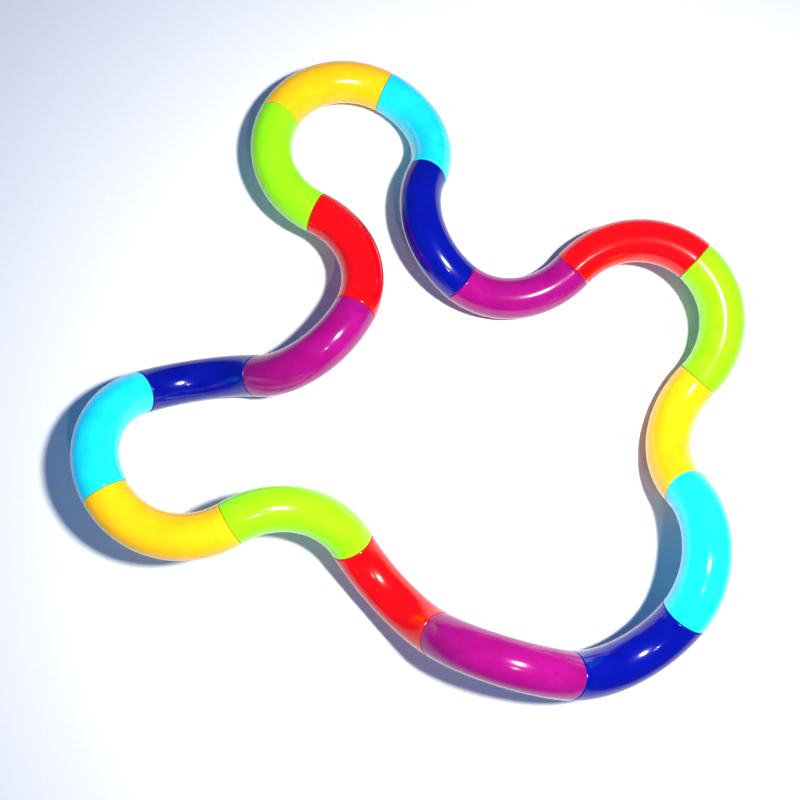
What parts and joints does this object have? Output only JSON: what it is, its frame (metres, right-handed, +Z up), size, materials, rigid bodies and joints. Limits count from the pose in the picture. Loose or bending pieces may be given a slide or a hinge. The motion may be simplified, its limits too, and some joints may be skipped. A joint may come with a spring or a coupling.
{
  "type": "twisty snake puzzle",
  "caption": "Closed loop of hollow curved tube links in six bright colours, each seam a swivel, so that the loop twists into new shapes.",
  "frame": {"origin": "on the table, under the centre of the loop's bounding box, as it lies in the picture", "axes": "+Z up from the table that the loop lies on; +Y horizontally away from the picture's viewer; +X to the viewer's right"},
  "size_m": [0.185, 0.1918, 0.0358],
  "materials": {
    "yellow_plastic": "glossy, moulded in colour",
    "cyan_plastic": "glossy, moulded in colour",
    "blue_plastic": "glossy, moulded in colour",
    "magenta_plastic": "glossy, moulded in colour",
    "red_plastic": "glossy, moulded in colour",
    "lime_plastic": "glossy, moulded in colour",
    "pin_plastic": "natural, unpolished"
  },
  "bodies": {
    "link_01_yellow": {"link_01_yellow_upper_shell": "yellow_plastic", "link_01_yellow_lower_shell": "yellow_plastic", "link_01_yellow_swivel_pin": "pin_plastic"},
    "link_02_cyan": {"link_02_cyan_upper_shell": "cyan_plastic", "link_02_cyan_lower_shell": "cyan_plastic", "link_02_cyan_swivel_pin": "pin_plastic"},
    "link_03_blue": {"link_03_blue_upper_shell": "blue_plastic", "link_03_blue_lower_shell": "blue_plastic", "link_03_blue_swivel_pin": "pin_plastic"},
    "link_04_magenta": {"link_04_magenta_upper_shell": "magenta_plastic", "link_04_magenta_lower_shell": "magenta_plastic", "link_04_magenta_swivel_pin": "pin_plastic"},
    "link_05_red": {"link_05_red_upper_shell": "red_plastic", "link_05_red_lower_shell": "red_plastic", "link_05_red_swivel_pin": "pin_plastic"},
    "link_06_lime": {"link_06_lime_upper_shell": "lime_plastic", "link_06_lime_lower_shell": "lime_plastic", "link_06_lime_swivel_pin": "pin_plastic"},
    "link_07_yellow": {"link_07_yellow_upper_shell": "yellow_plastic", "link_07_yellow_lower_shell": "yellow_plastic", "link_07_yellow_swivel_pin": "pin_plastic"},
    "link_08_cyan": {"link_08_cyan_upper_shell": "cyan_plastic", "link_08_cyan_lower_shell": "cyan_plastic", "link_08_cyan_swivel_pin": "pin_plastic"},
    "link_09_blue": {"link_09_blue_upper_shell": "blue_plastic", "link_09_blue_lower_shell": "blue_plastic", "link_09_blue_swivel_pin": "pin_plastic"},
    "link_10_magenta": {"link_10_magenta_upper_shell": "magenta_plastic", "link_10_magenta_lower_shell": "magenta_plastic", "link_10_magenta_swivel_pin": "pin_plastic"},
    "link_11_red": {"link_11_red_upper_shell": "red_plastic", "link_11_red_lower_shell": "red_plastic", "link_11_red_swivel_pin": "pin_plastic"},
    "link_12_lime": {"link_12_lime_upper_shell": "lime_plastic", "link_12_lime_lower_shell": "lime_plastic", "link_12_lime_swivel_pin": "pin_plastic"},
    "link_13_yellow": {"link_13_yellow_upper_shell": "yellow_plastic", "link_13_yellow_lower_shell": "yellow_plastic", "link_13_yellow_swivel_pin": "pin_plastic"},
    "link_14_cyan": {"link_14_cyan_upper_shell": "cyan_plastic", "link_14_cyan_lower_shell": "cyan_plastic", "link_14_cyan_swivel_pin": "pin_plastic"},
    "link_15_blue": {"link_15_blue_upper_shell": "blue_plastic", "link_15_blue_lower_shell": "blue_plastic", "link_15_blue_swivel_pin": "pin_plastic"},
    "link_16_magenta": {"link_16_magenta_upper_shell": "magenta_plastic", "link_16_magenta_lower_shell": "magenta_plastic", "link_16_magenta_swivel_pin": "pin_plastic"},
    "link_17_red": {"link_17_red_upper_shell": "red_plastic", "link_17_red_lower_shell": "red_plastic", "link_17_red_swivel_pin": "pin_plastic"},
    "link_18_lime": {"link_18_lime_upper_shell": "lime_plastic", "link_18_lime_lower_shell": "lime_plastic", "link_18_lime_swivel_pin": "pin_plastic"}
  },
  "joints": [
    {"name": "swivel_17", "type": "hinge", "parent": "link_17_red", "child": "link_18_lime", "pos_m": [-0.02012, 0.0474, 0.01472], "axis": [-0.8122, 0.5789, 0.0726], "range_deg": [-90, 135]},
    {"name": "swivel_18", "type": "hinge", "parent": "link_18_lime", "child": "link_01_yellow", "pos_m": [-0.02585, 0.08006, 0.01344], "axis": [0.5682, 0.8131, -0.1269], "continuous": true},
    {"name": "swivel_01", "type": "hinge", "parent": "link_01_yellow", "child": "link_02_cyan", "pos_m": [0.00619, 0.08548, 0.00674], "axis": [0.7975, -0.5821, -0.159], "continuous": true},
    {"name": "swivel_02", "type": "hinge", "parent": "link_02_cyan", "child": "link_03_blue", "pos_m": [0.0134, 0.05356, 0.0122], "axis": [-0.4902, -0.7786, 0.3917], "range_deg": [-45, 150]},
    {"name": "swivel_03", "type": "hinge", "parent": "link_03_blue", "child": "link_04_magenta", "pos_m": [0.01699, 0.02059, 0.01106], "axis": [0.6432, -0.6265, -0.4403], "continuous": true},
    {"name": "swivel_04", "type": "hinge", "parent": "link_04_magenta", "child": "link_05_red", "pos_m": [0.05004, 0.01858, 0.00892], "axis": [0.7655, 0.5405, 0.3491], "range_deg": [-135, 150]},
    {"name": "swivel_05", "type": "hinge", "parent": "link_05_red", "child": "link_06_lime", "pos_m": [0.0818, 0.01232, 0.01617], "axis": [0.5885, -0.8075, -0.04], "continuous": true},
    {"name": "swivel_06", "type": "hinge", "parent": "link_06_lime", "child": "link_07_yellow", "pos_m": [0.07746, -0.01948, 0.00773], "axis": [-0.7732, -0.5476, -0.3198], "continuous": true},
    {"name": "swivel_07", "type": "hinge", "parent": "link_07_yellow", "child": "link_08_cyan", "pos_m": [0.06425, -0.04867, 0.01632], "axis": [0.2098, -0.6968, 0.6859], "continuous": true},
    {"name": "swivel_16", "type": "hinge", "parent": "link_17_red", "child": "link_16_magenta", "pos_m": [-0.01383, 0.01514, 0.01923], "axis": [-0.5439, -0.7963, 0.2648], "continuous": true},
    {"name": "swivel_15", "type": "hinge", "parent": "link_16_magenta", "child": "link_15_blue", "pos_m": [-0.04392, 0.00362, 0.01135], "axis": [-0.739, 0.3049, -0.6007], "range_deg": [0, 120]},
    {"name": "swivel_14", "type": "hinge", "parent": "link_15_blue", "child": "link_14_cyan", "pos_m": [-0.07702, 0.00447, 0.01345], "axis": [-0.6719, -0.2687, 0.6902], "continuous": true},
    {"name": "swivel_13", "type": "hinge", "parent": "link_14_cyan", "child": "link_13_yellow", "pos_m": [-0.08434, -0.02372, 0.02934], "axis": [0.3598, -0.9329, -0.0128], "continuous": true},
    {"name": "swivel_12", "type": "hinge", "parent": "link_13_yellow", "child": "link_12_lime", "pos_m": [-0.05404, -0.03716, 0.02795], "axis": [0.9318, 0.36, -0.0461], "range_deg": [-165, 105]},
    {"name": "swivel_11", "type": "hinge", "parent": "link_12_lime", "child": "link_11_red", "pos_m": [-0.02552, -0.04753, 0.01453], "axis": [0.2838, -0.8018, -0.5259], "continuous": true},
    {"name": "swivel_10", "type": "hinge", "parent": "link_11_red", "child": "link_10_magenta", "pos_m": [-0.00674, -0.07417, 0.02069], "axis": [0.5169, -0.3341, 0.7882], "continuous": true},
    {"name": "swivel_09", "type": "hinge", "parent": "link_10_magenta", "child": "link_09_blue", "pos_m": [0.02287, -0.08852, 0.02495], "axis": [0.7452, -0.2776, -0.6063], "continuous": true}
  ]
}
